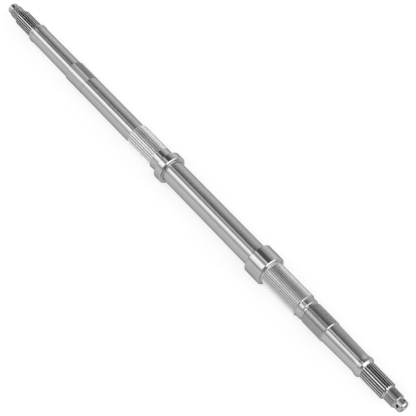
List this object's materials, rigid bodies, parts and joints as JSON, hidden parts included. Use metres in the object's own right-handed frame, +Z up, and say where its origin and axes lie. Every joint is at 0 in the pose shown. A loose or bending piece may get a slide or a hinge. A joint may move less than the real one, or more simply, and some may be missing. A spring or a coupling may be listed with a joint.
{
  "type": "axle shaft",
  "caption": "One-piece solid rear axle shaft with splined hub ends, cross-drilled threaded tips, inner splines, two collars, a ground journal and a lock nut thread.",
  "frame": {"origin": "on the shaft's axis at half its length", "axes": "+Y along the axis towards the lock nut side, -Y towards the journal side, +Z up as the shaft lies in a vehicle"},
  "size_m": [0.045, 0.8666, 0.0448],
  "materials": {
    "shaft_steel": "bright turned and ground steel"
  },
  "bodies": {
    "root": {"axle_shaft": "shaft_steel"}
  },
  "joints": []
}
